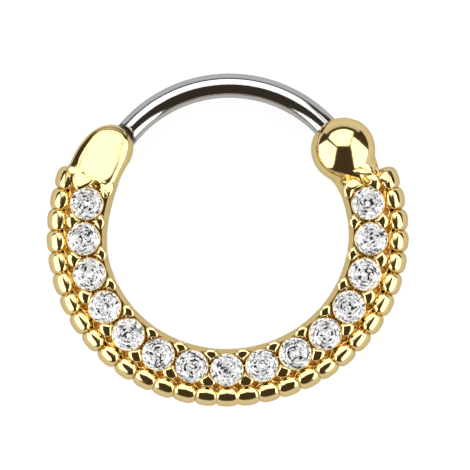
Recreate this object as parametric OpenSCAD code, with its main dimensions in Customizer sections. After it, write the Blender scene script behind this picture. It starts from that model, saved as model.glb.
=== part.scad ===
// Septum clicker: a cast ring front with a row of round stones, closed by a hinged steel bar.
// The ring lies on its flat back. +Z points out of the stones, +Y points to the bar,
// and the hinge is at the -X end. Angles are counted from +X, counter-clockwise.

/* [Band] */
// Radius of the hole through the band
band_inner_r = 5.9; // [5.85:0.01:5.95]
// Radius of the band's outer wall, behind the lobes
band_outer_r = 8.05; // [8:0.01:8.15]
// Height of the band's front face over its back
band_h = 2.2; // [2.1:0.05:2.3]
// Radius of the rounded edges
edge_r = 0.45; // [0.3:0.05:0.5]
// How far the rows of stones and lobes are out of round
out_of_round = 0.09; // [0:0.01:0.09]

/* [Stones] */
// Number of stones
stone_count = 15; // [15]
// Angle from one stone to the next
stone_pitch = 14.27; // [14.2:0.01:14.3]
// Radius of the circle through the stones' centres
stone_circle_r = 7.0; // [6.98:0.01:7.02]
// Diameter of a stone
stone_d = 1.54; // [1.46:0.01:1.56]
// Height of the stones' tables over the back
table_z = 2.6; // [2.55:0.01:2.65]
// Gap between a stone and its seat
seat_gap = 0.02; // [0.02:0.005:0.03]
// Width of the thin rim around each seat
rim_w = 0.1; // [0.1:0.01:0.12]

/* [Prongs] */
// Radius of a prong's round head
prong_r = 0.28; // [0.22:0.01:0.3]
// Radius of the circle through the inner prongs
inner_prong_circle_r = 6.25; // [6.22:0.01:6.26]
// Radius of the circle through the outer prongs
outer_prong_circle_r = 7.62; // [7.6:0.01:7.7]

/* [Lobes] */
// Number of lobes along the outer edge
lobe_count = 31; // [31]
// Radius of a lobe
lobe_r = 0.8; // [0.75:0.01:0.85]
// Radius of the circle through the lobes' centres
lobe_circle_r = 8.07; // [8.05:0.01:8.15]
// Height of the lobes' centres over the back
lobe_z = 1.3; // [1.2:0.05:1.35]

/* [Bar] */
// Diameter of the bar's wire
bar_d = 1.2; // [1.1:0.05:1.2]
// Radius of the bar's arc, along the wire's middle
bar_arc_r = 6.5; // [6.45:0.01:6.55]
// Height of the bar's middle over the back
bar_z = 1.45; // [1.4:0.01:1.5]
// Angle that the bar is swung open by
bar_open = 0; // [0:1:55]

/* [Hinge housing] */
// Width of the housing across the ring
housing_w = 2.65; // [2.6:0.01:2.7]
// Height of the housing over the back
housing_h = 2.85; // [2.8:0.05:2.95]
// Angle of the hinge on the stones' circle
hinge_angle = 147.2; // [147:0.1:147.5]
// Thickness of the flat lug on the bar
lug_t = 0.8; // [0.7:0.05:0.8]
// Radius of the lug's round eye
eye_r = 0.85; // [0.8:0.01:0.9]
// Diameter of the hinge pin
pin_d = 0.7; // [0.6:0.05:0.8]

/* [Catch ball] */
// Diameter of the ball
ball_d = 3.14; // [3.1:0.01:3.18]
// Radius of the circle that the ball's centre lies on
ball_circle_r = 6.87; // [6.85:0.01:6.9]
// Angle of the ball's centre
ball_angle = 34.2; // [34:0.1:34.5]

/* [Hidden] */
$fn = 64;
gold = [0.88, 0.74, 0.42];
steel = [0.75, 0.76, 0.78];
crystal = [0.93, 0.95, 0.98];

hinge = stone_circle_r * [cos(hinge_angle), sin(hinge_angle)];
ball = ball_circle_r * [cos(ball_angle), sin(ball_angle)];

// The bar's arc is not quite concentric with the band. Its round tip ends near the ball's middle,
// and its wire ends in a shoulder that follows the housing's round end.
bar_centre = [0.12, 0.48];
bar_r = bar_d / 2;
to_hinge = hinge - bar_centre;
to_ball = ball - bar_centre;
bar_heel_angle = atan2(to_hinge.y, to_hinge.x) - 4;
bar_tip_angle = atan2(to_ball.y, to_ball.x) + 6;
shoulder_r = housing_w / 2 + 0.1;

// Gaps that let the bar move
slot_gap = 0.05;
catch_gap = 0.08;
eye_bore_gap = 0.04;
pin_gap = 0.01;
pin_top_z = housing_h - 0.45;

// The rows of stones and lobes are widest at the lower left and the lower right, and flatter below
widest_angle = 215;
function row_r(r, angle) = r + out_of_round * cos(3 * (angle - widest_angle));

lobe_angles = [for (i = [0:lobe_count - 1]) 270 + (i - (lobe_count - 1) / 2) * stone_pitch / 2];
lobe_middles = [for (a = lobe_angles) row_r(lobe_circle_r, a) * [cos(a), sin(a)]];

// The middle of the ring's outline is brought over the origin
highest_y = bar_centre.y + bar_arc_r + bar_r;
ring_x = -(min([for (p = lobe_middles) p.x]) + max([for (p = lobe_middles) p.x])) / 2;
ring_y = -(min([for (p = lobe_middles) p.y]) - lobe_r + highest_y) / 2;

// Cut of a stone, as shares of its diameter
crown_h = 0.16 * stone_d;
girdle_h = 0.03 * stone_d;
pavilion_h = 0.43 * stone_d;
table_r = 0.28 * stone_d;
girdle_z = table_z - crown_h - girdle_h;

seat_r = stone_d / 2 + seat_gap;
rim_z = girdle_z + girdle_h / 2;

first_stone = 270 - (stone_count - 1) / 2 * stone_pitch;
last_stone = first_stone + (stone_count - 1) * stone_pitch - 360;
stone_angles = [for (i = [0:stone_count - 1]) first_stone + i * stone_pitch];

// The housing steps down in front of the first stone, and ends beside it
step_angle = first_stone - 11.5;
foot_angle = first_stone - 4.5;
neck_angle = ball_angle - 8;

// Claws that reach over the housing's foot and the ball's neck: radius on the ring, angle, size
CLAWS = [
    [7.3, first_stone - 8.4, 0.48],
    [6.1, first_stone - 8, 0.42],
    [6.42, last_stone + 10, 0.36],
    [7.2, last_stone + 12, 0.36],
];

function pad(i) = str(i < 10 ? "0" : "", i);

// Moves its child to a polar place in the ring's plane, with the child's X axis pointing outwards
module at_polar(r, angle, z = 0) {
    rotate(angle) translate([r, 0, z]) children();
}

module at_ring() {
    translate([ring_x, ring_y, 0]) children();
}

// A quarter of a round edge, from angle a to a + 90
function corner(c, r, a) = [for (k = [0:3]) c + r * [cos(a + 30 * k), sin(a + 30 * k)]];

// The outer half of a cross-section that ends at radius r, from the back to height h
function outer_side(r, h) = concat(
    corner([r - edge_r / 2, edge_r / 2], edge_r / 2, 270),
    corner([r - edge_r, h - edge_r], edge_r, 0));

// The inner half of a cross-section that starts at radius r, from height h to the back
function inner_side(r, h) = concat(
    corner([r + edge_r, h - edge_r], edge_r, 90),
    corner([r + edge_r / 2, edge_r / 2], edge_r / 2, 180));

// A piece of a ring between radii r0 and r1, from one angle to another, with rounded edges
module arc_wall(r0, r1, h, from, to) {
    rotate_extrude(start = from, angle = to - from, $fn = 128)
        polygon(concat(outer_side(r1, h), inner_side(r0, h)));
}

module lobes() {
    for (a = lobe_angles) at_polar(row_r(lobe_circle_r, a), a, lobe_z) sphere(lobe_r);
}

module rims() {
    for (a = stone_angles)
        at_polar(row_r(stone_circle_r, a), a, band_h / 2)
            cylinder(r = seat_r + rim_w, h = rim_z - band_h / 2);
}

// A pair of prongs in every gap between stones, and beyond the first and the last stone
module prongs() {
    for (i = [0:stone_count], r = [inner_prong_circle_r, outer_prong_circle_r]) {
        angle = first_stone + (i - 0.5) * stone_pitch;
        at_polar(row_r(r, angle), angle, rim_z) sphere(prong_r);
    }
}

module claws() {
    for (claw = CLAWS) at_polar(claw[0], claw[1], band_h) sphere(claw[2]);
}

// A round well with a conical floor that the stone's pavilion sits over
module seat() {
    cylinder(r = seat_r, h = housing_h);
    translate([0, 0, -pavilion_h]) cylinder(r1 = 0.1 * seat_r, r2 = seat_r, h = pavilion_h);
}

module seats() {
    for (a = stone_angles) at_polar(row_r(stone_circle_r, a), a, girdle_z - seat_gap) seat();
}

// Bullet-shaped housing: a round end about the hinge, then a stretch that follows the ring
module hinge_housing() {
    half_w = housing_w / 2;
    inner_r = stone_circle_r - half_w;
    outer_r = stone_circle_r + half_w;
    translate(hinge) rotate_extrude(start = hinge_angle - 180, angle = 180)
        polygon(concat([[0, 0]], outer_side(half_w, housing_h), [[0, housing_h]]));
    arc_wall(inner_r, outer_r, housing_h, hinge_angle, step_angle);
    arc_wall(inner_r, outer_r, table_z - 0.1, step_angle - 1, foot_angle);
}

// Slot for the bar's lug: open all round the housing's end
module hinge_slot() {
    slot_h = lug_t + 2 * slot_gap;
    reach = 4;
    depth = eye_r / 4;
    translate([hinge.x, hinge.y, bar_z - slot_h / 2]) {
        cylinder(r = eye_r + 2 * slot_gap, h = slot_h);
        rotate(hinge_angle - 90) translate([-depth, -reach / 2, 0])
            cube([reach, reach, slot_h]);
    }
}

module pin_bore() {
    translate([hinge.x, hinge.y, -1]) cylinder(d = pin_d + 2 * pin_gap, h = pin_top_z + 1);
}

module catch_ball() {
    translate([ball.x, ball.y, bar_z]) sphere(d = ball_d);
    at_polar(stone_circle_r, neck_angle, lobe_z) sphere(housing_w / 2);
}

// Slot that the bar's tip drops into: open to the outside and towards the bar
module catch_slot() {
    slot_h = bar_d + 2 * slot_gap;
    across = [cos(bar_tip_angle), sin(bar_tip_angle)];
    along = [across.y, -across.x];
    floor_mid = bar_centre + bar_arc_r * across + (bar_r + catch_gap) * along;
    outer = floor_mid + (bar_r + catch_gap) * across;
    inner = floor_mid - (bar_r + catch_gap) * across;
    translate([0, 0, bar_z - slot_h / 2]) linear_extrude(slot_h)
        difference() {
            polygon([inner, outer, [outer.x, 8], [0, 8], [0, inner.y]]);
            translate(bar_centre) circle(r = bar_arc_r - bar_r - catch_gap, $fn = 128);
        }
}

module setting() {
    color(gold) at_ring() difference() {
        union() {
            arc_wall(band_inner_r, band_outer_r, band_h, foot_angle - 1, 359 + neck_angle);
            lobes();
            rims();
            prongs();
            claws();
            hinge_housing();
            catch_ball();
        }
        seats();
        hinge_slot();
        pin_bore();
        catch_slot();
        translate([-10, -10, -2]) cube([20, 20, 2]);
    }
}

// Turns its child about the hinge by the angle that the bar is open
module swung() {
    translate(hinge) rotate(bar_open) translate(-hinge) children();
}

// The round wire, with a rounded tip that is a little smaller than the wire
module wire() {
    translate([bar_centre.x, bar_centre.y, bar_z]) {
        rotate_extrude(start = bar_tip_angle, angle = bar_heel_angle - bar_tip_angle, $fn = 128)
            translate([bar_arc_r, 0]) circle(r = bar_r);
        at_polar(bar_arc_r, bar_tip_angle) rotate([90, 0, 0]) sphere(r = bar_r - 0.02);
    }
}

// Cuts the wire's end down to a flat lug, and leaves a hollow shoulder round the housing
module shoulder_cut() {
    for (z = [bar_z + lug_t / 2, bar_z - lug_t / 2 - bar_d])
        translate([hinge.x, hinge.y, z]) cylinder(r = shoulder_r, h = bar_d);
}

module bar() {
    color(steel) at_ring() swung() difference() {
        union() {
            difference() {
                wire();
                shoulder_cut();
            }
            translate([hinge.x, hinge.y, bar_z - lug_t / 2]) cylinder(r = eye_r, h = lug_t);
        }
        translate([hinge.x, hinge.y, 0]) cylinder(r = pin_d / 2 + eye_bore_gap, h = housing_h);
    }
}

module hinge_pin() {
    back_gap = 0.02;
    color(steel) at_ring() translate([hinge.x, hinge.y, back_gap])
        cylinder(d = pin_d, h = pin_top_z - 2 * back_gap);
}

// Round cut stone: an eight-sided table, a sixteen-sided girdle and a point below
module stone(i) {
    thin = 0.01;
    a = stone_angles[i];
    color(crystal) at_ring() at_polar(row_r(stone_circle_r, a), a, girdle_z)
        hull() {
            translate([0, 0, girdle_h + crown_h - thin]) cylinder(r = table_r, h = thin, $fn = 8);
            rotate(11.25) cylinder(d = stone_d, h = girdle_h, $fn = 16);
            translate([0, 0, -pavilion_h]) cylinder(r = 2 * thin, h = thin, $fn = 8);
        }
}

setting();
bar();
hinge_pin();
for (i = [1:stone_count])
    stone(i - 1);
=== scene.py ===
"""Septum clicker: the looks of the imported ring, made as smooth surfaces around its solids.

Lengths are in millimetres about the ring's middle, and angles in degrees counter-clockwise from +X.
"""

import bpy
import numpy as np
from mathutils import Matrix


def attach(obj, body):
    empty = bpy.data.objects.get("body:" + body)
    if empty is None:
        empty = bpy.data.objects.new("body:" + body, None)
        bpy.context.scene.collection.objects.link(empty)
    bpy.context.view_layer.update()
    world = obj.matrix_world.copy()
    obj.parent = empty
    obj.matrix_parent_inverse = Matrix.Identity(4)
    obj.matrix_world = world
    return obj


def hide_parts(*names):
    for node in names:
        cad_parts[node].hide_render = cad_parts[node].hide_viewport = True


bl_info = {
    "name": "Septum Clicker",
    "version": (1, 0, 0),
    "blender": (4, 5, 0),
    "location": "View3D > Sidebar > Clicker",
    "description": "Smooth cast, steel and cut stone pieces for a hinged septum ring",
    "category": "Add Mesh",
}

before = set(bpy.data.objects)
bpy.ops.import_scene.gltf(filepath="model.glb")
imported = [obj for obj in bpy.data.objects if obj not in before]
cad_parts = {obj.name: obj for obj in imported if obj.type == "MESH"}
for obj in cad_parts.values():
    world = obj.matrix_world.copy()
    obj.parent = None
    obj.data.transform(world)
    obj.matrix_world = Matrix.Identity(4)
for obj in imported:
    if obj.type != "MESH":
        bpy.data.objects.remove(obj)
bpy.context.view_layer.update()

MM = 0.001
RNG_SEED = 11
SHARP_ANGLE = 40

# The ring's middle and the photo's, in the part's frame, and the photo's side and pixel
RING_MIDDLE = (-0.0226, 0.6015, 0)
PHOTO_MIDDLE = (0.3694, 0.2585)
PHOTO_SIDE = 470
PIXEL = 0.049

STONES = 15
STONE_PITCH = 14.27
STONE_CIRCLE_R = 7.0
FIRST_STONE = 270 - (STONES - 1) / 2 * STONE_PITCH
LOBES = 31
OUT_OF_ROUND = 0.09
WIDEST_ANGLE = 215

# How far a stone reaches above and below its girdle, as shares of its diameter
CROWN = 0.19
PAVILION = 0.43

HINGE_ANGLE = 147.2
BALL_ANGLE = 34.2
BALL_CIRCLE_R = 6.87
BAR_MIDDLE = np.array([0.12, 0.48])
BAR_ARC_R = 6.5

# How steeply the tops of the housing and the claws fall towards the bar
TOP_SLOPE = 0.14

# Outlines of the claws at the housing's foot and of the lumps at the ball's neck, each with the
# height of its top and then its (radius, angle) marks
CLAWS = (
    (2.87, [(7.91, 160.8), (7.68, 158.6), (7.29, 158.2), (6.80, 158.8),
            (6.88, 161.8), (7.18, 164.3), (7.47, 165.8), (7.75, 164.3)]),
    (2.87, [(6.58, 158.8), (6.31, 157.6), (6.01, 157.4), (5.84, 159.8),
            (5.82, 163.2), (5.94, 165.2), (6.15, 164.2), (6.44, 162.3)]),
    (2.70, [(6.04, 19.4), (6.28, 21.3), (6.67, 21.2), (6.92, 18.1), (6.63, 17.0), (6.24, 17.2)]),
    (2.66, [(7.20, 20.6), (7.51, 20.9), (7.74, 19.1), (7.71, 16.8), (7.40, 17.4)]),
    (2.76, [(6.70, 24.5), (7.08, 24.3), (7.38, 22.5), (7.60, 20.4), (7.29, 20.6), (6.89, 22.4)]),
    (2.50, [(8.00, 19.5), (8.26, 19.7), (8.34, 17.8), (8.12, 15.6), (7.87, 16.8), (7.72, 18.1)]),
    (2.50, [(6.00, 18.9), (6.20, 18.2), (6.19, 15.6), (6.01, 13.8), (5.90, 15.9)]),
)


def lerp(a, b, t):
    """The value that lies the share t of the way from a to b."""
    return a + (b - a) * t


def smooth(low, high, x):
    """0 below low, 1 above high, and an S-shaped cubic between them."""
    t = np.clip((x - low) / (high - low), 0, 1)
    return t * t * (3 - 2 * t)


def soft_max(a, b, width):
    """The larger of two values, with the corner between them rounded over the given width."""
    return (a + b + np.sqrt((a - b) ** 2 + width**2)) / 2


def loop(count):
    """Angles, in radians, of the points of a closed loop."""
    return 2 * np.pi * np.arange(count) / count


def polar(r, angle, z):
    """Points at radius r, angle and height z, as arrays that broadcast together."""
    r, angle, z = np.broadcast_arrays(r, np.radians(angle), z)
    return np.stack([r * np.cos(angle), r * np.sin(angle), z], -1)


def flat(r, angle):
    """The plan point at radius r and an angle."""
    return np.array([r * np.cos(np.radians(angle)), r * np.sin(np.radians(angle))])


def angle_of(xy):
    """The angle that each plan point lies at."""
    return np.degrees(np.arctan2(xy[..., 1], xy[..., 0]))


def nearest(angle, places):
    """For each angle, the one of the places that is nearest to it."""
    return places[np.abs(angle[..., None] - places).argmin(-1)]


def row_r(r, angle):
    """Radius of a place on the band, which is a little out of round: widest at 215 degrees and
    every 120 degrees from there, and less so towards the hole."""
    share = np.clip((r - 5.0) / 2.0, 0, 1.35)
    return r + OUT_OF_ROUND * share * np.cos(np.radians(3 * (angle - WIDEST_ANGLE)))


def distance(xy, r, angle):
    """How far plan points are from the place on the band at radius r and an angle."""
    return np.linalg.norm(xy - polar(row_r(r, angle), angle, 0)[..., :2], axis=-1)


HINGE = flat(STONE_CIRCLE_R, HINGE_ANGLE)
BALL = flat(BALL_CIRCLE_R, BALL_ANGLE)
BAR_TIP_ANGLE = angle_of(BALL - BAR_MIDDLE) + 6
BAR_HEEL_ANGLE = angle_of(HINGE - BAR_MIDDLE) - 4
STONE_ANGLES = FIRST_STONE + STONE_PITCH * np.arange(STONES)
GAP_ANGLES = FIRST_STONE + STONE_PITCH * (np.arange(STONES + 1) - 0.5)


class Shells:
    """Closed surfaces gathered into one mesh.

    Each is a stack of closed loops of points. A tube that comes back to its start has no caps;
    any other stack is closed with a fan at both ends. Faces are turned outwards by the sign of
    the volume that they enclose.
    """

    def __init__(self):
        self.points, self.hollow = [], []
        self.quads, self.fans = [], []
        self.count = 0

    def add(self, grid, ring=False, hollow=0.0):
        """Adds a grid of points, row by row, or copies of one, with how much shade is painted at each
        point.
        """
        grid = np.asarray(grid, float)
        grid = grid.reshape((-1,) + grid.shape[-3:])
        copies, rows, cols = grid.shape[:3]
        index = np.arange(rows * cols).reshape(rows, cols)
        if ring:
            index = np.vstack([index, index[:1]])
        a, b = index[:-1], index[1:]
        quads = np.stack([a, np.roll(a, -1, 1), np.roll(b, -1, 1), b], -1).reshape(-1, 4)
        points = grid.reshape(copies, rows * cols, 3)
        values = np.broadcast_to(hollow, grid.shape[:3]).reshape(copies, -1)
        fans = np.zeros((0, 3), int)
        if not ring:
            first, last = index[0], index[-1]
            low, high = rows * cols, rows * cols + 1
            fans = np.concatenate([
                np.stack([np.roll(first, -1), first, np.full(cols, low)], -1),
                np.stack([last, np.roll(last, -1), np.full(cols, high)], -1)])
            ends = np.stack([grid[:, 0].mean(1), grid[:, -1].mean(1)], 1)
            points = np.concatenate([points, ends], 1)
            ends = np.stack([values[:, first].mean(1), values[:, last].mean(1)], 1)
            values = np.concatenate([values, ends], 1)
        shape = points[0] - points[0].mean(0)
        corners = np.concatenate([quads[:, :3], quads[:, [0, 2, 3]], fans])
        p, q, r = shape[corners[:, 0]], shape[corners[:, 1]], shape[corners[:, 2]]
        if np.einsum("ij,ij->", p, np.cross(q, r)) < 0:
            quads, fans = quads[:, ::-1], fans[:, ::-1]
        step = self.count + points.shape[1] * np.arange(copies)[:, None, None]
        self.points.append(points.reshape(-1, 3))
        self.hollow.append(values.reshape(-1))
        self.quads.append((quads + step).reshape(-1, 4))
        self.fans.append((fans + step).reshape(-1, 3))
        self.count += points.shape[0] * points.shape[1]
        return self

    def mesh(self, name, unit=MM):
        """The mesh in metres, in the part's own frame, with the shade painted in its hollows as an
        attribute.
        """
        points = (np.concatenate(self.points) + RING_MIDDLE) * unit
        faces = np.concatenate(self.quads).tolist() + np.concatenate(self.fans).tolist()
        mesh = bpy.data.meshes.new(name)
        mesh.from_pydata(points.tolist(), [], faces)
        mesh.attributes.new("hollow", "FLOAT", "POINT").data.foreach_set(
            "value", np.concatenate(self.hollow).astype(np.float32))
        mesh.update()
        return mesh


def put(name, mesh, body, finishes, replaces=(), faceted=False):
    """Links a finished mesh as a piece that rides a body and takes its finish from a slot."""
    piece = bpy.data.objects.new(name, mesh)
    bpy.context.scene.collection.objects.link(piece)
    mesh.materials.clear()
    for build in finishes:
        mesh.materials.append(finish(build))
    if faceted:
        mesh.shade_flat()
    else:
        mesh.shade_smooth()
        mesh.set_sharp_from_angle(angle=np.radians(SHARP_ANGLE))
    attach(piece, body)
    if replaces:
        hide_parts(*replaces)


def cut(shells, cutter):
    """A mesh of some shells with the cutter's volume taken out, worked out in millimetres."""
    body = bpy.data.objects.new("cut_body", shells.mesh("cut_body", 1))
    tool = bpy.data.objects.new("cut_tool", cutter.mesh("cut_tool", 1))
    for part in (body, tool):
        bpy.context.scene.collection.objects.link(part)
    take = body.modifiers.new("take", "BOOLEAN")
    take.operation = "DIFFERENCE"
    take.solver = "MANIFOLD"
    take.object = tool
    bpy.context.view_layer.update()
    graph = bpy.context.evaluated_depsgraph_get()
    result = bpy.data.meshes.new_from_object(body.evaluated_get(graph), depsgraph=graph)
    if len(result.polygons) < 100:
        raise RuntimeError(f"the slot could not be cut: {len(result.polygons)} faces")
    for part in (body, tool):
        bpy.data.objects.remove(part)
    result.transform(Matrix.Scale(MM, 4))
    return result


def prism(outline, low, high):
    """A straight prism: the outline's loop at the low and at the high end."""
    rows = [np.column_stack([outline, np.full(len(outline), z)]) for z in (low, high)]
    return Shells().add(np.stack(rows))


def spun(radius, height, count):
    """A section of radii and heights carried round the Z axis, one row of points an angle."""
    turn = loop(count)[:, None]
    rows = np.broadcast_arrays(radius * np.cos(turn), radius * np.sin(turn), height)
    return np.stack(rows, -1)


def button(centre, angle, outline, profile, tilt=(0, 0)):
    """A closed button: a plan outline scaled and lifted row by row along a profile.

    centre is a plan point, outline[j] are plan points about it, turned by the angle, and
    profile[i] is (scale, height). The upper rows also rise by the tilt, which is the slope along
    the outline's own X and Y.
    """
    turn = np.radians(angle)
    spin = np.array([[np.cos(turn), np.sin(turn)], [-np.sin(turn), np.cos(turn)]])
    scale, height = profile.T
    xy = centre + (outline @ spin)[None] * scale[:, None, None]
    share = np.clip((height - height[0]) / (height[-1] - height[0]), 0, 1)[:, None]
    lift = scale[:, None] * (outline @ np.asarray(tilt, float))
    return np.concatenate([xy, (height[:, None] + share * lift)[..., None]], -1)


def closed_curve(marks, steps=10):
    """A smooth closed outline through (radius, angle) marks: a Catmull-Rom cubic between two."""
    p = np.array([flat(r, angle) for r, angle in marks])
    before, after, beyond = np.roll(p, 1, 0), np.roll(p, -1, 0), np.roll(p, -2, 0)
    t = np.linspace(0, 1, steps, endpoint=False)[None, :, None]
    p0, p1, p2, p3 = before[:, None], p[:, None], after[:, None], beyond[:, None]
    curve = 2 * p1 + (p2 - p0) * t
    curve = curve + (2 * p0 - 5 * p1 + 4 * p2 - p3) * t**2
    curve = curve + (3 * p1 - p0 - 3 * p2 + p3) * t**3
    return (curve / 2).reshape(-1, 2)


def dome(low, side, top, rows, power):
    """Profile of a button: a wall from low to side, then a dome up to top.

    The dome is a superellipse: the scale is cos(t) to the power 2/power, and the height is
    side + (top - side) sin(t) to the same power.
    """
    t = np.linspace(0, np.pi / 2 * 0.985, rows)
    rise = side + (top - side) * np.sin(t) ** (2 / power)
    scale = np.cos(t) ** (2 / power)
    return np.concatenate([[[1.0, low]], np.column_stack([scale, rise])])


def egg(half_x, half_y, points, pinch):
    """An ellipse, x = a cos(t) and y = b sin(t), whose y shrinks by the pinch towards +X."""
    t = loop(points)
    x, y = half_x * np.cos(t), half_y * np.sin(t)
    return np.column_stack([x, y * (1 - pinch * smooth(-0.4, 1.0, np.cos(t)))])


# Shader nodes


class Value:
    """A number's socket in a node tree, so that shader maths reads as an expression."""

    def __init__(self, tree, socket):
        self.tree = tree
        self.socket = socket

    def math(self, kind, *others):
        """The outcome of a Math node on this value and the others."""
        node = self.tree.node("ShaderNodeMath", {"operation": kind}, [self, *others])
        return Value(self.tree, node.outputs[0])

    def __add__(self, other):
        return self.math("ADD", other)

    __radd__ = __add__

    def __mul__(self, other):
        return self.math("MULTIPLY", other)

    __rmul__ = __mul__

    def __sub__(self, other):
        return self.math("SUBTRACT", other)

    def __rsub__(self, other):
        return self * -1 + other

    def __truediv__(self, other):
        return self.math("DIVIDE", other)

    def root(self):
        return self.math("SQRT")

    def most(self, other):
        return self.math("MAXIMUM", other)

    def step(self, low, high):
        """0 below low and 1 above high, with a smooth change between them."""
        node = self.tree.node("ShaderNodeMapRange", {"interpolation_type": "SMOOTHSTEP"},
                              {"Value": self, "From Min": low, "From Max": high})
        return Value(self.tree, node.outputs[0])


class Tree:
    """Makes the nodes of one material or world."""

    def __init__(self, owner):
        owner.use_nodes = True
        self.tree = owner.node_tree
        self.tree.nodes.clear()

    def node(self, kind, settings=None, sockets=None):
        """A node of a kind, with its settings first and then the values or links of its sockets."""
        node = self.tree.nodes.new(kind)
        for key, value in (settings or {}).items():
            setattr(node, key, value)
        if isinstance(sockets, list):
            sockets = dict(enumerate(sockets))
        for key, value in (sockets or {}).items():
            if isinstance(value, Value):
                value = value.socket
            if isinstance(value, bpy.types.NodeSocket):
                self.tree.links.new(value, node.inputs[key])
            else:
                node.inputs[key].default_value = value
        return node

    def hollow(self):
        """How much shade is painted on the surface, from 0 to 1, as its mesh says."""
        node = self.node("ShaderNodeAttribute", {"attribute_name": "hollow"})
        return Value(self, node.outputs["Fac"])

    def noise(self, scale, detail):
        """Soft noise over the surface's own coordinates, with so many waves to a metre."""
        place = self.node("ShaderNodeTexCoord").outputs["Object"]
        node = self.node("ShaderNodeTexNoise", None, {
            "Vector": place, "Scale": scale, "Detail": detail, "Roughness": 0.5})
        return Value(self, node.outputs[0])

    def mix(self, share, a, b):
        """A colour that lies the share of the way from a to b."""
        node = self.node("ShaderNodeMix", {"data_type": "RGBA"}, {0: share, 6: a, 7: b})
        return node.outputs[2]

    def bump(self, height, depth):
        """A normal for a surface that rises by the height times a depth in metres."""
        node = self.node("ShaderNodeBump", None, {
            "Strength": 1.0, "Distance": depth, "Height": height})
        return node.outputs[0]

    def surface(self, sockets):
        """Ends the nodes in a Principled shader with these sockets."""
        shader = self.node("ShaderNodeBsdfPrincipled", None, sockets)
        self.node("ShaderNodeOutputMaterial", None, {"Surface": shader.outputs[0]})


def rgba(colour):
    """An opaque colour."""
    return (*colour, 1.0)


def grey(level):
    """An opaque grey."""
    return (level, level, level, 1.0)


def finish(build):
    """The material that a function gives its nodes and its name to, made when first asked for."""
    made = bpy.data.materials.get(build.__name__)
    if made is None:
        made = bpy.data.materials.new(build.__name__)
        build(Tree(made))
    return made


def gold_plate_finish(t):
    """Polished gold plate: duller in the hollows, and deeper there as painted shade, with faint waves
    from casting.
    """
    look = looks()
    hollow = t.hollow()
    cloud = t.noise(900, 3)
    grain = t.noise(9000, 2)
    waves = t.noise(1500, 1) + t.noise(5200, 1) * 0.22
    tone = t.mix((cloud * 0.6).step(0.2, 0.45) * 0.35, rgba(look.gold), rgba(look.gold_warm))
    t.surface({
        # Painted shade: the hollows turn to the deeper, more orange gold, standing for the shade and
        # the gold's reflections of itself there.
        "Base Color": t.mix(hollow, tone, rgba(look.gold_hollow_shade)),
        "Metallic": 1.0,
        "Roughness": cloud * 0.05 + grain * 0.03 + hollow * 0.35 + (look.gold_rough - 0.04),
        "Normal": t.bump(waves * 0.9 + grain * 0.02, look.wave_depth * MM),
        "Specular Tint": (0.78, 0.7, 0.55, 1)})


def steel_finish(t):
    """Polished steel with a fine grain and a little uneven gloss, and painted shade, nearly black, in
    the hollows.
    """
    look = looks()
    cloud = t.noise(700, 3)
    grain = t.noise(12000, 2)
    hollow = t.hollow()
    tone = t.mix(cloud.step(0.35, 0.7) * 0.4, rgba(look.steel), rgba(look.steel_dark))
    t.surface({
        # Painted shade: the hollows by the hinge are darkened to nearly black.
        "Base Color": t.mix(hollow * 0.9, tone, (0.05, 0.05, 0.055, 1)),
        "Metallic": 1.0,
        "Roughness": cloud * 0.04 + grain * 0.03 + hollow * 0.2 + (look.steel_rough - 0.03),
        "Normal": t.bump(grain, 0.0015 * MM),
        "Specular Tint": grey(0.8)})


def crystal_finish(t):
    """Clear cut crystal with a faint cloud of a cooler tint."""
    cloud = t.noise(2500, 2)
    t.surface({
        "Base Color": t.mix(cloud.step(0.4, 0.6), rgba(looks().crystal), (0.94, 0.96, 1.0, 1)),
        "Metallic": 0.0,
        "Roughness": cloud * 0.01,
        "IOR": 1.85,
        "Transmission Weight": 1.0})


def foil_and_painted_glint_finish(t):
    """The bright silvering on the back of a crystal, with painted dark specks and a painted glow
    between them.

    The specks are painted reflections of dark facets, and the glow is painted light that stands
    for the light that the stone's own facets throw back.
    """
    cloud = t.noise(4000, 2)
    # Painted glints and painted dark specks: where the mask is on, the silvering is bright and glows;
    # elsewhere it is nearly black.
    painted_glint = t.noise(5900, 1).step(0.42, 0.445)
    silver = t.mix(cloud.step(0.35, 0.65), (0.97, 0.96, 0.96, 1), grey(0.9))
    t.surface({
        "Base Color": t.mix(painted_glint, (0.06, 0.06, 0.065, 1), silver),
        "Metallic": 0.8,
        "Roughness": cloud * 0.03,
        "Emission Color": t.mix(painted_glint, grey(0.0), grey(0.32)),
        "Emission Strength": 1.0})


def pale_floor(t):
    """A matt floor that glows, a little more for the camera than for the ring's reflections."""
    seen = t.node("ShaderNodeLightPath").outputs["Is Camera Ray"]
    t.surface({
        "Base Color": grey(0.2),
        "Roughness": 0.9,
        "Emission Color": t.mix(seen, grey(0.64), grey(0.82)),
        "Emission Strength": 1.0})


# Sizes and colours


def length(name, text, default):
    """A length's setting, in millimetres."""
    return bpy.props.FloatProperty(
        name=name, description=text, default=default, min=0.0, precision=3)


def share_of_one(name, text, default):
    """The setting of a number between 0 and 1."""
    return bpy.props.FloatProperty(
        name=name, description=text, default=default, subtype="FACTOR", min=0.0, max=1.0, precision=3)


def shade(name, text, default):
    """A colour's setting."""
    return bpy.props.FloatVectorProperty(
        name=name, description=text, default=default, size=3, subtype="COLOR", min=0.0, max=1.0)


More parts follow.
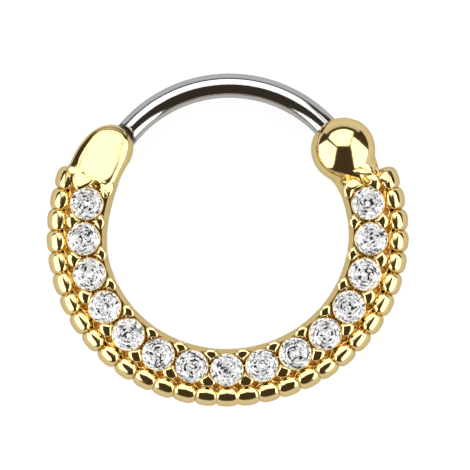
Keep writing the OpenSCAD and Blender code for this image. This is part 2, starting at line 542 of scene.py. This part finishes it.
class ClickerSizes(bpy.types.PropertyGroup):
    """Sizes of the ring, in millimetres."""

    band_inner_r: length("Band hole", "Radius of the hole through the band, mm", 5.97)
    band_outer_r: length("Band outside", "Radius of the band behind its lobes, mm", 8.05)
    band_h: length("Band height", "Height of the band's face over the back, mm", 2.2)
    lobe_circle_r: length("Lobe circle", "Radius of the circle through the lobes' tops, mm", 8.24)
    lobe_long: length("Lobe length", "Reach of a lobe outwards from its top, mm", 0.65)
    lobe_inner: length("Lobe inner reach", "Reach of a lobe inwards from its top, mm", 0.46)
    lobe_wide: length("Lobe width", "Half the width of a lobe along the edge, mm", 0.67)
    lobe_z: length("Lobe height", "Height of the lobes' middles over the back, mm", 1.18)
    stone_d: length("Stone", "Diameter of a stone, mm", 1.54)
    table_z: length("Table height", "Height of the stones' tables over the back, mm", 2.6)
    rim_w: length("Seat rim", "Width of the thin rim round a stone, mm", 0.07)
    bar_d: length("Bar wire", "Diameter of the bar's wire, mm", 1.2)
    bar_z: length("Bar height", "Height of the bar's middle over the back, mm", 1.45)
    housing_w: length("Housing width", "Width of the hinge housing, mm", 2.65)
    housing_h: length("Housing height", "Height of the hinge housing, mm", 2.85)
    lug_t: length("Lug", "Thickness of the bar's flat lug, mm", 0.8)
    ball_d: length("Ball", "Diameter of the catch ball, mm", 3.14)


class ClickerLook(bpy.types.PropertyGroup):
    """Colours and gloss of the finishes."""

    gold: shade("Gold", "Colour of the gold plate", (0.69, 0.545, 0.265))
    gold_warm: shade("Warm gold", "Warmer tone in the gold plate", (0.66, 0.495, 0.215))
    # Painted shade: the deeper gold that the hollows are painted with.
    gold_hollow_shade: shade("Deep gold", "Colour of the plate in its hollows", (0.62, 0.36, 0.09))
    gold_rough: share_of_one("Gold roughness", "Roughness of the gold plate", 0.09)
    wave_depth: length("Waves", "Depth of the faint waves in the cast surface, mm", 0.004)
    steel: shade("Steel", "Colour of the steel", (0.43, 0.43, 0.435))
    steel_dark: shade("Dark steel", "Darker tone in the steel", (0.38, 0.38, 0.39))
    steel_rough: share_of_one("Steel roughness", "Roughness of the steel", 0.07)
    crystal: shade("Crystal", "Tint of the stones", (1.0, 1.0, 1.0))


def sizes():
    """The sizes that are set in the scene."""
    return bpy.context.scene.clicker_sizes


def looks():
    """The colours and gloss that are set in the scene."""
    return bpy.context.scene.clicker_look


def girdle_z(s):
    """Height of the stones' girdles over the back."""
    return s.table_z - CROWN * s.stone_d


# Pieces


def band_height(r, angle, s):
    """Height of the band's front face, and the shade painted on it, at a radius and an angle.

    The face is level and drops a little towards the lobes. The well under each stone is a cone
    that clears the stone's point. The small pits beside the stones and between them are bells,
    and shade is painted into them.
    """
    z = s.band_h - 0.28 * smooth(7.6, 8.0, r)
    xy = polar(row_r(r, angle), angle, 0)[..., :2]
    stone = nearest(angle, STONE_ANGLES)
    off = distance(xy, STONE_CIRCLE_R, stone)
    seat_r = s.stone_d / 2 + 0.02
    well = girdle_z(s) - 0.04 - PAVILION * s.stone_d * np.clip(1 - off / seat_r, 0, 1)
    z = np.where(off < seat_r, np.minimum(z, well), z)
    # Painted shade: the pits beside the stones get the full deeper gold, the bells between them most
    # of it.
    hollow = np.zeros_like(z)
    for side in (-3.9, 3.9):
        pit = distance(xy, 7.78, stone + side)
        z = z - 0.2 * (1 - smooth(0.08, 0.22, pit))
        hollow = np.maximum(hollow, 1 - smooth(0.12, 0.24, pit))
    gap = nearest(angle, GAP_ANGLES)
    for radius, size in ((6.62, 0.2), (7.1, 0.16)):
        bell = 1 - smooth(0.05, size, distance(xy, radius, gap))
        z = z - 0.3 * bell
        hollow = np.maximum(hollow, 0.8 * bell)
    return z, hollow


def cast_band(s):
    """The band: a cross-section carried round the ring.

    Its front is a height over radius and angle; its inside is a wall with a sloped upper edge,
    which comes in a little towards both ends.
    """
    inner, outer = s.band_inner_r, s.band_outer_r
    angle = np.linspace(158, 385.3, 880)
    face = np.linspace(inner + 0.2, outer - 0.03, 62)
    rim = (inner, 0) + np.array([
        (0.3, 0), (0.17, 0.06), (0.11, 0.2), (0.06, 0.8), (0, 1.4),
        (0.02, 1.6), (0.06, 1.78), (0.11, 1.93), (0.16, 2.06)])
    wall = (outer, 0) + np.array([(0, 1.6), (0, 0.9), (0, 0.2), (-0.06, 0.06), (-0.2, 0)])
    r = np.concatenate([rim[:, 0], face, wall[:, 0]])
    start, end = len(rim), len(rim) + len(face)
    z = np.zeros((len(angle), len(r)))
    # Painted shade, from the pits of the face.
    hollow = np.zeros_like(z)
    z[:, :start] = rim[:, 1]
    z[:, end:] = wall[:, 1]
    z[:, start:end], hollow[:, start:end] = band_height(*np.meshgrid(face, angle), s)
    narrowing = 0.2 * (1 - smooth(164, 198, angle)) + 0.13 * smooth(352, 380, angle)
    inside = 1 - smooth(inner, inner + 0.6, r)
    plan_r = row_r(r[None], angle[:, None]) - narrowing[:, None] * inside
    return Shells().add(polar(plan_r, angle[:, None], z), hollow=hollow)


def edge_lobes(s):
    """The lobes along the outer edge: beads that overlap, each a little different.

    With x across the band, y along the edge, t round a row and k a row's cosine, a bead is
    x = a k cos(t)^0.68, y = b k^0.3 sin(t)^0.7 and height = c sin^0.95 on its outer half, where
    the small powers make it square. Its inner half is short, steep and rounder, with k^0.35 for
    k, and slopes to the hole. Beads at the sides are narrower and lean a little to the bar.
    """
    rng = np.random.default_rng(RNG_SEED)
    c, d = np.cos(loop(56)), np.sin(loop(56))
    across = np.where(c > 0, np.abs(c) ** 0.68, -s.lobe_inner / s.lobe_long * np.abs(c))
    along = np.sign(d) * np.abs(d) ** np.where(c > 0, 0.7, 0.85)
    rise = (np.linspace(-1, 1, 41)[1:-1] * np.pi / 2)[:, None]
    arch = np.sign(rise) * np.abs(np.sin(rise)) ** 0.95
    k = np.cos(rise)
    out = Shells()
    for i in range(LOBES):
        angle = 270 + (i - (LOBES - 1) / 2) * STONE_PITCH / 2 + rng.uniform(-0.15, 0.15)
        a = np.radians(angle)
        sideways = np.abs(np.cos(a))
        long = s.lobe_long * (1 + rng.uniform(-0.012, 0.0))
        wide = s.lobe_wide * (1 + rng.uniform(-0.03, 0.03)) * (1 - 0.09 * sideways)
        tall = 1 + rng.uniform(-0.03, 0.03)
        x = long * np.where(c > 0, k, k**0.35) * across
        y = wide * k ** rng.uniform(0.27, 0.37) * along
        north = x * np.sin(a) + y * np.cos(a)
        lean = 0.12 * np.minimum(x, 0) - 0.05 * sideways * north
        z = np.maximum(s.lobe_z + tall * arch + lean, 0.02)
        middle = flat(row_r(s.lobe_circle_r, angle), angle)
        east = x * np.cos(a) - y * np.sin(a)
        out.add(np.stack([middle[0] + east, middle[1] + north, z], -1))
    return out


def seat_rims(s):
    """The thin rim round each stone: a small rounded section carried round a circle."""
    inner = s.stone_d / 2 - 0.015
    outer = inner + s.rim_w
    mid, half = (inner + outer) / 2, (outer - inner) / 2
    top = girdle_z(s)
    bend = np.linspace(0, np.pi, 9)
    radius = np.concatenate([[inner + 0.02], mid - half * np.cos(bend), [outer + 0.03]])
    height = np.concatenate([[top - 0.5], top + 0.01 + 0.05 * np.sin(bend), [top - 0.7]])
    middles = polar(row_r(STONE_CIRCLE_R, STONE_ANGLES), STONE_ANGLES, 0)
    rims = spun(radius, height, 72) + middles[:, None, None]
    # The rims get a little painted shade, a tenth of the deeper gold of the hollows.
    return Shells().add(rims, ring=True, hollow=0.1)


def prongs(s):
    """Claws between the stones: pointed arches on the outside, small shields on the inside.

    Each is a low dome on an egg outline with a pointed end.
    """
    arch, arch_rows = egg(0.37, 0.43, 56, 0.88), dome(1.7, 2.35, 2.64, 20, 4.0)
    shield, shield_rows = egg(0.32, 0.40, 56, 0.85), dome(1.7, 2.35, 2.62, 20, 3.5)
    out = Shells()
    for gap in GAP_ANGLES:
        outside, inside = flat(row_r(7.51, gap), gap), flat(row_r(6.27, gap), gap)
        out.add(button(outside, gap + 180, arch, arch_rows, (0.08, 0)))
        out.add(button(inside, gap, shield, shield_rows, (-0.08, 0)))
    return out


def housing_outlines():
    """The housing's outer outline and that of the flat on its top, through 18 marks that match."""
    outer = closed_curve([
        (8.34, 160.5), (8.30, 157.0), (8.28, 152.5), (8.22, 148.4), (8.10, 144.6), (7.88, 140.9),
        (7.55, 137.9), (7.14, 136.1), (6.69, 135.9), (6.27, 137.2), (5.92, 140.2), (5.75, 144.5),
        (5.74, 149.5), (5.74, 154.5), (5.74, 159.0), (5.90, 163.5), (6.80, 165.5), (7.70, 164.5)])
    top = closed_curve([
        (7.62, 159.0), (7.78, 155.6), (7.79, 152.2), (7.77, 148.6), (7.76, 145.4), (7.66, 142.9),
        (7.44, 141.2), (7.15, 139.9), (6.88, 139.3), (6.66, 139.9), (6.55, 142.4), (6.38, 145.4),
        (6.24, 148.6), (6.18, 152.6), (6.20, 156.4), (6.42, 158.9), (6.85, 159.4), (7.30, 159.3)])
    return outer, top


def hinge_housing(s):
    """The bullet-shaped hinge housing, from its outer outline up to the pear-shaped flat on top.

    Row by row the outline goes from the outer one to the top's: up the wall, round a steep edge,
    up a bevel, through a fine groove and in to the middle. The bevel is deeper where it is wide,
    and shallow at the foot. The top slopes down towards the bar, and past the foot's step
    everything above the band's face is left off.
    """
    outer, top = housing_outlines()
    h = s.housing_h - 0.15
    # The wall: share of the way to the top's outline, and height
    side = [(0.3, 0.0), (0.22, 0.06), (0.18, 0.2), (0.15, 0.6), (0.12, 1.0), (0.09, 1.4), (0.04, 1.8)]
    # The bevel: share of the way, and depth below the top on the outer side and the hole's side
    bevel = [(0.02, 0.62, 0.68), (0.05, 0.47, 0.57), (0.1, 0.34, 0.46), (0.17, 0.225, 0.35),
             (0.24, 0.163, 0.26), (0.31, 0.143, 0.19), (0.38, 0.124, 0.13), (0.45, 0.105, 0.085),
             (0.52, 0.085, 0.069), (0.59, 0.065, 0.053), (0.66, 0.045, 0.037),
             (0.73, 0.027, 0.0216), (0.8, 0.015, 0.016), (0.86, 0.010, 0.0112),
             (0.895, 0.014, 0.0084), (0.93, 0.018, 0.0056), (0.965, 0.015, 0.0028),
             (1.0, 0.006, 0.0), (1.03, 0.0, 0.0)]
    # The flat: share of the way on to the middle
    inward = (0.12, 0.25, 0.4, 0.6, 0.8, 0.9, 0.97)
    rows = [(k, z, 0, 0) for k, z in side]
    rows += [(k, h, far, near) for k, far, near in bevel]
    rows += [(1 + k, h + 0.004 + 0.01 * k, 0, 0) for k in inward]
    hole_side = smooth(7.0, 6.6, np.hypot(top[:, 0], top[:, 1]))
    steep = np.linalg.norm(outer - top, axis=1) / 0.5
    steep = steep * lerp(0.12, 1, smooth(165.0, 161.5, angle_of(outer)))
    middle = top.mean(0)
    loops, hollow = [], []
    for k, z, far, near in rows:
        xy = lerp(outer, top, k) if k <= 1 else lerp(top, middle, k - 1)
        rise = z - lerp(far, near, hole_side) * steep
        rise = rise - smooth(1.8, h, z) * TOP_SLOPE * (xy[:, 1] - middle[1])
        step = smooth(160.4, 161.8, angle_of(xy))
        rise = lerp(rise, np.minimum(rise, s.band_h - 0.02), step)
        loops.append(np.column_stack([xy, rise]))
        # Painted shade in the fine groove round the flat: 0.3 of the deeper gold.
        hollow.append(np.full(len(xy), 0.3 if 0.89 < k < 1.01 else 0.0))
    return Shells().add(np.stack(loops), hollow=np.stack(hollow))


def foot_claws(s):
    """The claws at the housing's foot, and the small lumps at the ball's neck.

    Each is a nearly flat dome on an outline through marks, and slopes down to +Y. A small
    pointed dome lies between the foot's two claws.
    """
    out = Shells()
    for top, marks in CLAWS:
        outline = closed_curve(marks, 7)
        middle = outline.mean(0)
        rows = dome(1.5, top - 0.3, top, 18, 5.5)
        out.add(button(middle, 0, outline - middle, rows, (0, -TOP_SLOPE)))
    between = flat(6.83, FIRST_STONE - 8.1)
    small = button(between, FIRST_STONE - 95, egg(0.26, 0.3, 32, 0.8), dome(1.7, 2.2, 2.45, 10, 2.0))
    # Painted shade on the small dome between the foot's claws: half the deeper gold.
    return out.add(small, hollow=0.5)


def ball_section(angle, s):
    """Reach of the ball and its neck in and out, and the neck's height, in the plane at an angle.

    A plane through the ring's axis cuts the ball in a circle. The neck's reach is read between
    a few measured radii, and the two are joined with a rounded maximum.
    """
    big = s.ball_d / 2
    off = np.radians(angle - BALL_ANGLE)
    middle = BALL_CIRCLE_R * np.cos(off)
    reach = np.sqrt(np.maximum(big**2 - (BALL_CIRCLE_R * np.sin(off)) ** 2, 0))
    marks = [15, 18, 21, 24, 28, 36]
    inner = np.interp(angle, marks, [5.84, 5.78, 5.73, 5.67, 5.66, 5.8])
    outer = np.interp(angle, marks, [7.8, 7.9, 7.97, 8.02, 8.02, 7.9])
    top = np.interp(angle, marks, [0.6, 0.8, 1.0, 1.12, 1.2, 1.2])
    fade = smooth(40, 30, angle)
    inner = lerp(middle, inner, fade)
    outer = lerp(middle, outer, fade)
    width = 0.12 * fade + 1e-4
    r_out = soft_max(middle + reach, outer, width)
    r_in = -soft_max(-(middle - reach), -inner, width)
    return r_in, r_out, top * fade, width


def catch_ball(s):
    """The ball and its neck, in planes through the ring's axis that are carried along the ring.

    The ball's halves are set a little apart: a straight waist, and above and below it a half
    ellipse, whose height is sqrt(1 - (distance/radius)^2) of what the waist leaves.
    """
    big, waist = s.ball_d / 2, 0.35
    far = BALL_ANGLE + np.degrees(np.arcsin(big / BALL_CIRCLE_R))
    near_part = np.linspace(15.5, BALL_ANGLE, 80)[:-1]
    far_part = BALL_ANGLE + (far - BALL_ANGLE) * np.sin(np.linspace(0, 1, 60) * np.pi / 2 * 0.995)
    angle = np.concatenate([near_part, far_part])
    r_in, r_out, neck, width = ball_section(angle, s)
    turn = loop(96)
    mid, half = (r_in + r_out) / 2, (r_out - r_in) / 2
    r = mid[:, None] + half[:, None] * np.cos(turn)
    off = np.linalg.norm(polar(r, angle[:, None], 0)[..., :2] - BALL, axis=-1)
    full = waist * smooth(big, big - 0.01, off)
    full = full + (big - waist) * np.sqrt(np.maximum(1 - (off / big) ** 2, 0))
    tall = soft_max(full, neck[:, None] * np.abs(np.sin(turn)), width[:, None])
    z = np.maximum(s.bar_z + tall * np.sign(np.round(np.sin(turn), 6)), 0.0)
    return Shells().add(polar(r, angle[:, None], z))


def catch_slot(s):
    """What is cut out of the ball for the bar's tip: a level slot, open outwards and to the bar."""
    reach = s.bar_d / 2 + 0.08
    beyond = 9.0
    across = flat(1, BAR_TIP_ANGLE)
    along = np.array([across[1], -across[0]])
    middle = BAR_MIDDLE + BAR_ARC_R * across + reach * along
    inner, outer = middle - reach * across, middle + reach * across
    start = np.radians(BAR_TIP_ANGLE)
    floor = np.linspace(start - 0.02, start + 0.9, 24)
    curve = BAR_MIDDLE + (BAR_ARC_R - reach) * np.column_stack([np.cos(floor), np.sin(floor)])
    ends = [inner, outer, (outer[0] + 0.6, beyond), (curve[-1][0], beyond)]
    half = s.bar_d / 2 + 0.05
    return prism(np.concatenate([curve[::-1], ends]), s.bar_z - half, s.bar_z + half)


def hinge_slot(s):
    """What is cut out of the housing for the bar's lug: a round pocket, open round the end."""
    reach = 0.95
    out, back = flat(1, HINGE_ANGLE - 90), flat(1, HINGE_ANGLE)
    bend = np.linspace(0, np.pi, 33)[:, None]
    pocket = HINGE - reach * np.cos(bend) * back - reach * np.sin(bend) * out
    corners = ((2.2, -0.2), (2.2, 3), (-2.2, 3), (-2.2, -0.2))
    opening = [HINGE + x * back + y * out for x, y in corners]
    half = s.lug_t / 2 + 0.05
    return prism(np.concatenate([pocket, opening]), s.bar_z - half, s.bar_z + half)


def bar_wire(s):
    """Points of the bar's wire, and the shade painted on them: a circle carried along an arc.

    The tip is a half ball, whose circles are the sine and cosine of one angle. Near the hinge the
    height is held to the lug's, up to a concave shoulder about the pin. The wire's front and back
    next to the shoulder get painted shade.
    """
    radius = s.bar_d / 2
    cap = np.linspace(0, np.pi / 2, 14)[:-1]
    cap_r = np.sin(cap + 0.02) * (radius - 0.02)
    cap_angle = BAR_TIP_ANGLE - np.degrees(np.cos(cap) * (radius - 0.02) / BAR_ARC_R)
    shoulder = BAR_HEEL_ANGLE - 9.5
    angle = np.concatenate([
        cap_angle,
        np.linspace(BAR_TIP_ANGLE, shoulder - 4, 150),
        np.linspace(shoulder - 4, shoulder + 5, 150)[1:],
        np.linspace(shoulder + 5, BAR_HEEL_ANGLE, 20)[1:]])
    size = np.concatenate([cap_r, np.full(len(angle) - len(cap_r), radius)])[:, None]
    turn = loop(72)
    xy = polar(BAR_ARC_R + size * np.cos(turn), angle[:, None], 0)[..., :2] + BAR_MIDDLE
    z = size * np.sin(turn)
    shoulder_r = s.housing_w / 2 + 0.1
    past = np.linalg.norm(xy - HINGE, axis=-1) - shoulder_r
    rise = np.clip(past / 0.3, 0, 1)
    limit = s.lug_t / 2 + 0.2 * np.sqrt(1 - (1 - rise) ** 2)
    limit = limit + 2.0 * np.clip((past - 0.3) / 0.1, 0, 1)
    z = np.clip(z, -limit, limit)
    # Painted shade: the wire's front and back next to the shoulder, by the housing, are darkened.
    hollow = 0.95 * smooth(0.14, 0.06, past) * smooth(0.2, 0.3, np.abs(z))
    return np.concatenate([xy, (s.bar_z + z)[..., None]], -1), hollow


def bar_lug(s):
    """Points of the bar's lug: a flat ring with softly rounded edges, spun about the pin."""
    eye, hole, half, soft = 0.85, 0.39, s.lug_t / 2, 0.05
    bend = np.linspace(0, np.pi / 2, 4)
    edge_r = eye - soft + soft * np.sin(bend)
    edge_z = half - soft + soft * np.cos(bend)
    radius = np.concatenate([[hole, hole], edge_r, edge_r[::-1]])
    height = np.concatenate([[-half, half], edge_z, -edge_z[::-1]])
    return spun(radius, height, 64) + (*HINGE, s.bar_z)


def steel_bar(s):
    """The bar: its wire and its lug, which meet at the hinge."""
    wire, hollow = bar_wire(s)
    return Shells().add(wire, hollow=hollow).add(bar_lug(s), ring=True)


def brilliant(d):
    """A twelvefold round brilliant of diameter d about its girdle: its points and its faces.

    The faces are those seen from the front, the table, stars, kites and girdle, and those of the
    pavilion. Each inner corner's height is on the plane through the kite's ends, so the kites
    are flat.
    """
    n = 12
    big, table_r, star_r, lower_r = d / 2, 0.28 * d, 0.40 * d, 0.16 * d
    top, rim, deep = CROWN * d, 0.03 * d, -PAVILION * d
    half = np.pi / n
    main = np.radians(360 / n * np.arange(n))
    edge = half * np.arange(2 * n)
    star_z = top - (star_r * np.cos(half) - table_r) * (top - rim) / (big - table_r)
    lower_z = (big - lower_r * np.cos(half)) * deep / big

    def ring(r, a, z):
        return np.column_stack([r * np.cos(a), r * np.sin(a), np.full(len(a), z)])

    points = np.concatenate([
        ring(table_r, main, top), ring(star_r, main + half, star_z), ring(big, edge, rim),
        ring(big, edge, 0.0), ring(lower_r, main + half, lower_z), [[0, 0, deep]]])
    star, upper, under, lower, point = n, 2 * n, 4 * n, 6 * n, 7 * n
    k, j = np.arange(n), np.arange(2 * n)
    after, before, beyond = (k + 1) % n, (k - 1) % n, (j + 1) % (2 * n)
    front = [
        k[None],
        np.column_stack([k, star + k, after]),
        np.column_stack([k, star + before, upper + 2 * k, star + k]),
        np.column_stack([star + k, upper + 2 * k, upper + 2 * k + 1]),
        np.column_stack([star + k, upper + 2 * k + 1, upper + 2 * after]),
        np.column_stack([upper + j, under + j, under + beyond, upper + beyond])]
    back = [
        np.column_stack([under + 2 * k, lower + before, np.full(n, point), lower + k]),
        np.column_stack([lower + k, under + 2 * k + 1, under + 2 * k]),
        np.column_stack([lower + k, under + 2 * after, under + 2 * k + 1])]
    return points, sum([f.tolist() for f in front], []), sum([f.tolist() for f in back], [])


def cut_stone(s, angle, spin, tilt):
    """A brilliant in its seat, spun and tilted about X and Y, and which of its faces are silvered."""
    points, front, back = brilliant(s.stone_d)
    a, b, c = np.radians([spin, *tilt])
    turn_z = np.array([[np.cos(a), -np.sin(a), 0], [np.sin(a), np.cos(a), 0], [0, 0, 1]])
    turn_x = np.array([[1, 0, 0], [0, np.cos(b), -np.sin(b)], [0, np.sin(b), np.cos(b)]])
    turn_y = np.array([[np.cos(c), 0, np.sin(c)], [0, 1, 0], [-np.sin(c), 0, np.cos(c)]])
    place = polar(row_r(STONE_CIRCLE_R, angle), angle, girdle_z(s)) + RING_MIDDLE
    points = (points @ (turn_y @ turn_x @ turn_z).T + place) * MM
    mesh = bpy.data.meshes.new("cut_stone")
    mesh.from_pydata(points.tolist(), [], front + back)
    mesh.update()
    return mesh, np.repeat([0, 1], [len(front), len(back)]).astype(np.int32)


# Operators


class CLICKER_OT_band(bpy.types.Operator):
    """Makes the cast band with its pits and wells"""

    bl_idname = "clicker.band"
    bl_label = "Cast Band"

    def execute(self, context):
        mesh = cast_band(sizes()).mesh("cast_band")
        put("cast_band", mesh, "front", [gold_plate_finish], ["setting"])
        return {"FINISHED"}


class CLICKER_OT_lobes(bpy.types.Operator):
    """Makes the row of lobes along the outer edge"""

    bl_idname = "clicker.lobes"
    bl_label = "Edge Lobes"

    def execute(self, context):
        mesh = edge_lobes(sizes()).mesh("edge_lobes")
        put("edge_lobes", mesh, "front", [gold_plate_finish])
        return {"FINISHED"}


class CLICKER_OT_prongs(bpy.types.Operator):
    """Makes the seat rims, the prongs and the claws"""

    bl_idname = "clicker.prongs"
    bl_label = "Rims, Prongs and Claws"

    def execute(self, context):
        for make in (seat_rims, prongs, foot_claws):
            mesh = make(sizes()).mesh(make.__name__)
            put(make.__name__, mesh, "front", [gold_plate_finish])
        return {"FINISHED"}


class CLICKER_OT_housing(bpy.types.Operator):
    """Makes the hinge housing with its slot"""

    bl_idname = "clicker.housing"
    bl_label = "Hinge Housing"

    def execute(self, context):
        mesh = cut(hinge_housing(sizes()), hinge_slot(sizes()))
        put("hinge_housing", mesh, "front", [gold_plate_finish])
        return {"FINISHED"}


class CLICKER_OT_ball(bpy.types.Operator):
    """Makes the catch ball with its neck and slot"""

    bl_idname = "clicker.ball"
    bl_label = "Catch Ball"

    def execute(self, context):
        mesh = cut(catch_ball(sizes()), catch_slot(sizes()))
        put("catch_ball", mesh, "front", [gold_plate_finish])
        return {"FINISHED"}


class CLICKER_OT_bar(bpy.types.Operator):
    """Makes the steel bar, and gives the hinge pin its finish"""

    bl_idname = "clicker.bar"
    bl_label = "Steel Bar"

    def execute(self, context):
        mesh = steel_bar(sizes()).mesh("steel_bar")
        put("steel_bar", mesh, "bar", [steel_finish], ["bar"])
        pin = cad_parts["hinge_pin"]
        pin.data.materials.clear()
        pin.data.materials.append(finish(steel_finish))
        return {"FINISHED"}


class CLICKER_OT_stones(bpy.types.Operator):
    """Makes the cut stones, each turned its own way"""

    bl_idname = "clicker.stones"
    bl_label = "Cut Stones"

    def execute(self, context):
        rng = np.random.default_rng(RNG_SEED)
        finishes = [crystal_finish, foil_and_painted_glint_finish]
        for i, angle in enumerate(STONE_ANGLES):
            mesh, silvered = cut_stone(sizes(), angle, rng.uniform(0, 30), rng.uniform(-3, 3, 2))
            number = f"{i + 1:02d}"
            put("cut_stone_" + number, mesh, "front", finishes, ["stone_" + number],
                faceted=True)
            mesh.polygons.foreach_set("material_index", silvered)
        return {"FINISHED"}


def studio_world():
    """A dark room with soft boxes to the left, the top and the right, as a polished ball shows it.

    The direction d that a ball's surface mirrors upwards gives the place on the ball's picture:
    its x and y over the square root of 2 + 2 dz. The boxes are shapes in that picture.
    """
    world = bpy.data.worlds.new("studio")
    bpy.context.scene.world = world
    t = Tree(world)
    way = t.node("ShaderNodeTexCoord").outputs["Generated"]
    x, y, z = (Value(t, axis) for axis in t.node("ShaderNodeSeparateXYZ", None, [way]).outputs)
    wide = ((z + 1.0001) * 2).most(0.0002).root()
    u, v = x / wide, y / wide
    reach = (u * u + v * v).root()

    def past(value, edge, soft=0.02):
        """0 below an edge and 1 above it, with a soft change."""
        return value.step(edge - soft, edge + soft)

    def inside(lines, far):
        """1 within the straight sides (a, b, c), where a u + b v > c, and within a reach."""
        shape = 1 - past(reach, far)
        for a, b, c in lines:
            shape = shape * past(u * a + v * b, c)
        return shape

    top = inside([(-0.03, 1, 0.08), (1, 1, -0.09), (-1, 0.39, -0.1), (1, -0.45, -0.5)], 0.51)
    left = inside([(-1, 0.25, 0.17), (-0.8, -1, 0.11), (0.45, -1, -0.42), (0, 1, -0.5)], 0.68)
    right = inside([(1, 0.22, 0.19), (1, -0.39, 0.125), (0, -1, -0.38), (-0.9, -1.19, -0.595),
                    (0.67, 1, -0.28)], 0.68)
    sweep = past(reach, 0.6) * inside([(-0.74, 0.67, 0), (0.67, 0.74, 0)], 0.8)
    skirt = past(reach, 0.65) * past(v * -1, 0.1)
    box = top.most(left).most(right)
    rim = past(reach, 0.7, 0.01)
    lit = box * (reach * 0.9 + 2.35) + sweep * 0.85 + skirt * 0.5

    def tint(dark):
        """One colour's light: the boxes over the dark room, with an even rim round them."""
        return (lit + dark) * (1 - rim) + rim * 0.9

    glow = t.node("ShaderNodeCombineXYZ", None, [tint(dark) for dark in (0.075, 0.056, 0.038)])
    seen = t.node("ShaderNodeLightPath").outputs["Is Camera Ray"]
    shown = t.mix(seen, glow.outputs[0], grey(0.93))
    back = t.node("ShaderNodeBackground", None, {"Color": shown, "Strength": 1.0})
    t.node("ShaderNodeOutputWorld", None, {"Surface": back.outputs[0]})


class CLICKER_OT_stage(bpy.types.Operator):
    """Makes the pale floor, the soft light and the camera"""

    bl_idname = "clicker.stage"
    bl_label = "Stage"

    def execute(self, context):
        half = 1.5
        mesh = bpy.data.meshes.new("floor")
        corners = [(-half, -half, 0), (half, -half, 0), (half, half, 0), (-half, half, 0)]
        mesh.from_pydata(corners, [], [(0, 1, 2, 3)])
        mesh.materials.append(finish(pale_floor))
        floor = bpy.data.objects.new("floor", mesh)
        context.scene.collection.objects.link(floor)
        studio_world()
        data = bpy.data.cameras.new("camera")
        data.lens, data.sensor_width = 200, 36
        data.clip_start, data.clip_end = 0.01, 10
        width = PHOTO_SIDE * PIXEL * MM
        top = 1.5 * MM
        x, y = PHOTO_MIDDLE
        camera = bpy.data.objects.new("camera", data)
        camera.location = (x * MM, y * MM, top + width * data.lens / data.sensor_width)
        context.scene.collection.objects.link(camera)
        context.scene.camera = camera
        context.scene.view_settings.view_transform = "Standard"
        return {"FINISHED"}


class CLICKER_PT_panel(bpy.types.Panel):
    """Lists the ring's pieces and their sizes"""

    bl_idname = "CLICKER_PT_panel"
    bl_label = "Septum Clicker"
    bl_space_type = "VIEW_3D"
    bl_region_type = "UI"
    bl_category = "Clicker"

    def draw(self, context):
        for step in STEPS:
            self.layout.operator(step.bl_idname)
        for group in (context.scene.clicker_sizes, context.scene.clicker_look):
            column = self.layout.column()
            for name in group.__annotations__:
                column.prop(group, name)


STEPS = (CLICKER_OT_band, CLICKER_OT_lobes, CLICKER_OT_prongs, CLICKER_OT_housing,
         CLICKER_OT_ball, CLICKER_OT_bar, CLICKER_OT_stones, CLICKER_OT_stage)
CLASSES = (ClickerSizes, ClickerLook, *STEPS, CLICKER_PT_panel)


def register():
    for cls in CLASSES:
        bpy.utils.register_class(cls)
    bpy.types.Scene.clicker_sizes = bpy.props.PointerProperty(type=ClickerSizes)
    bpy.types.Scene.clicker_look = bpy.props.PointerProperty(type=ClickerLook)


def unregister():
    del bpy.types.Scene.clicker_look
    del bpy.types.Scene.clicker_sizes
    for cls in reversed(CLASSES):
        bpy.utils.unregister_class(cls)


def main():
    register()
    bpy.ops.clicker.band()
    bpy.ops.clicker.lobes()
    bpy.ops.clicker.prongs()
    bpy.ops.clicker.housing()
    bpy.ops.clicker.ball()
    bpy.ops.clicker.bar()
    bpy.ops.clicker.stones()
    bpy.ops.clicker.stage()
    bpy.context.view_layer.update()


if __name__ == "__main__":
    main()
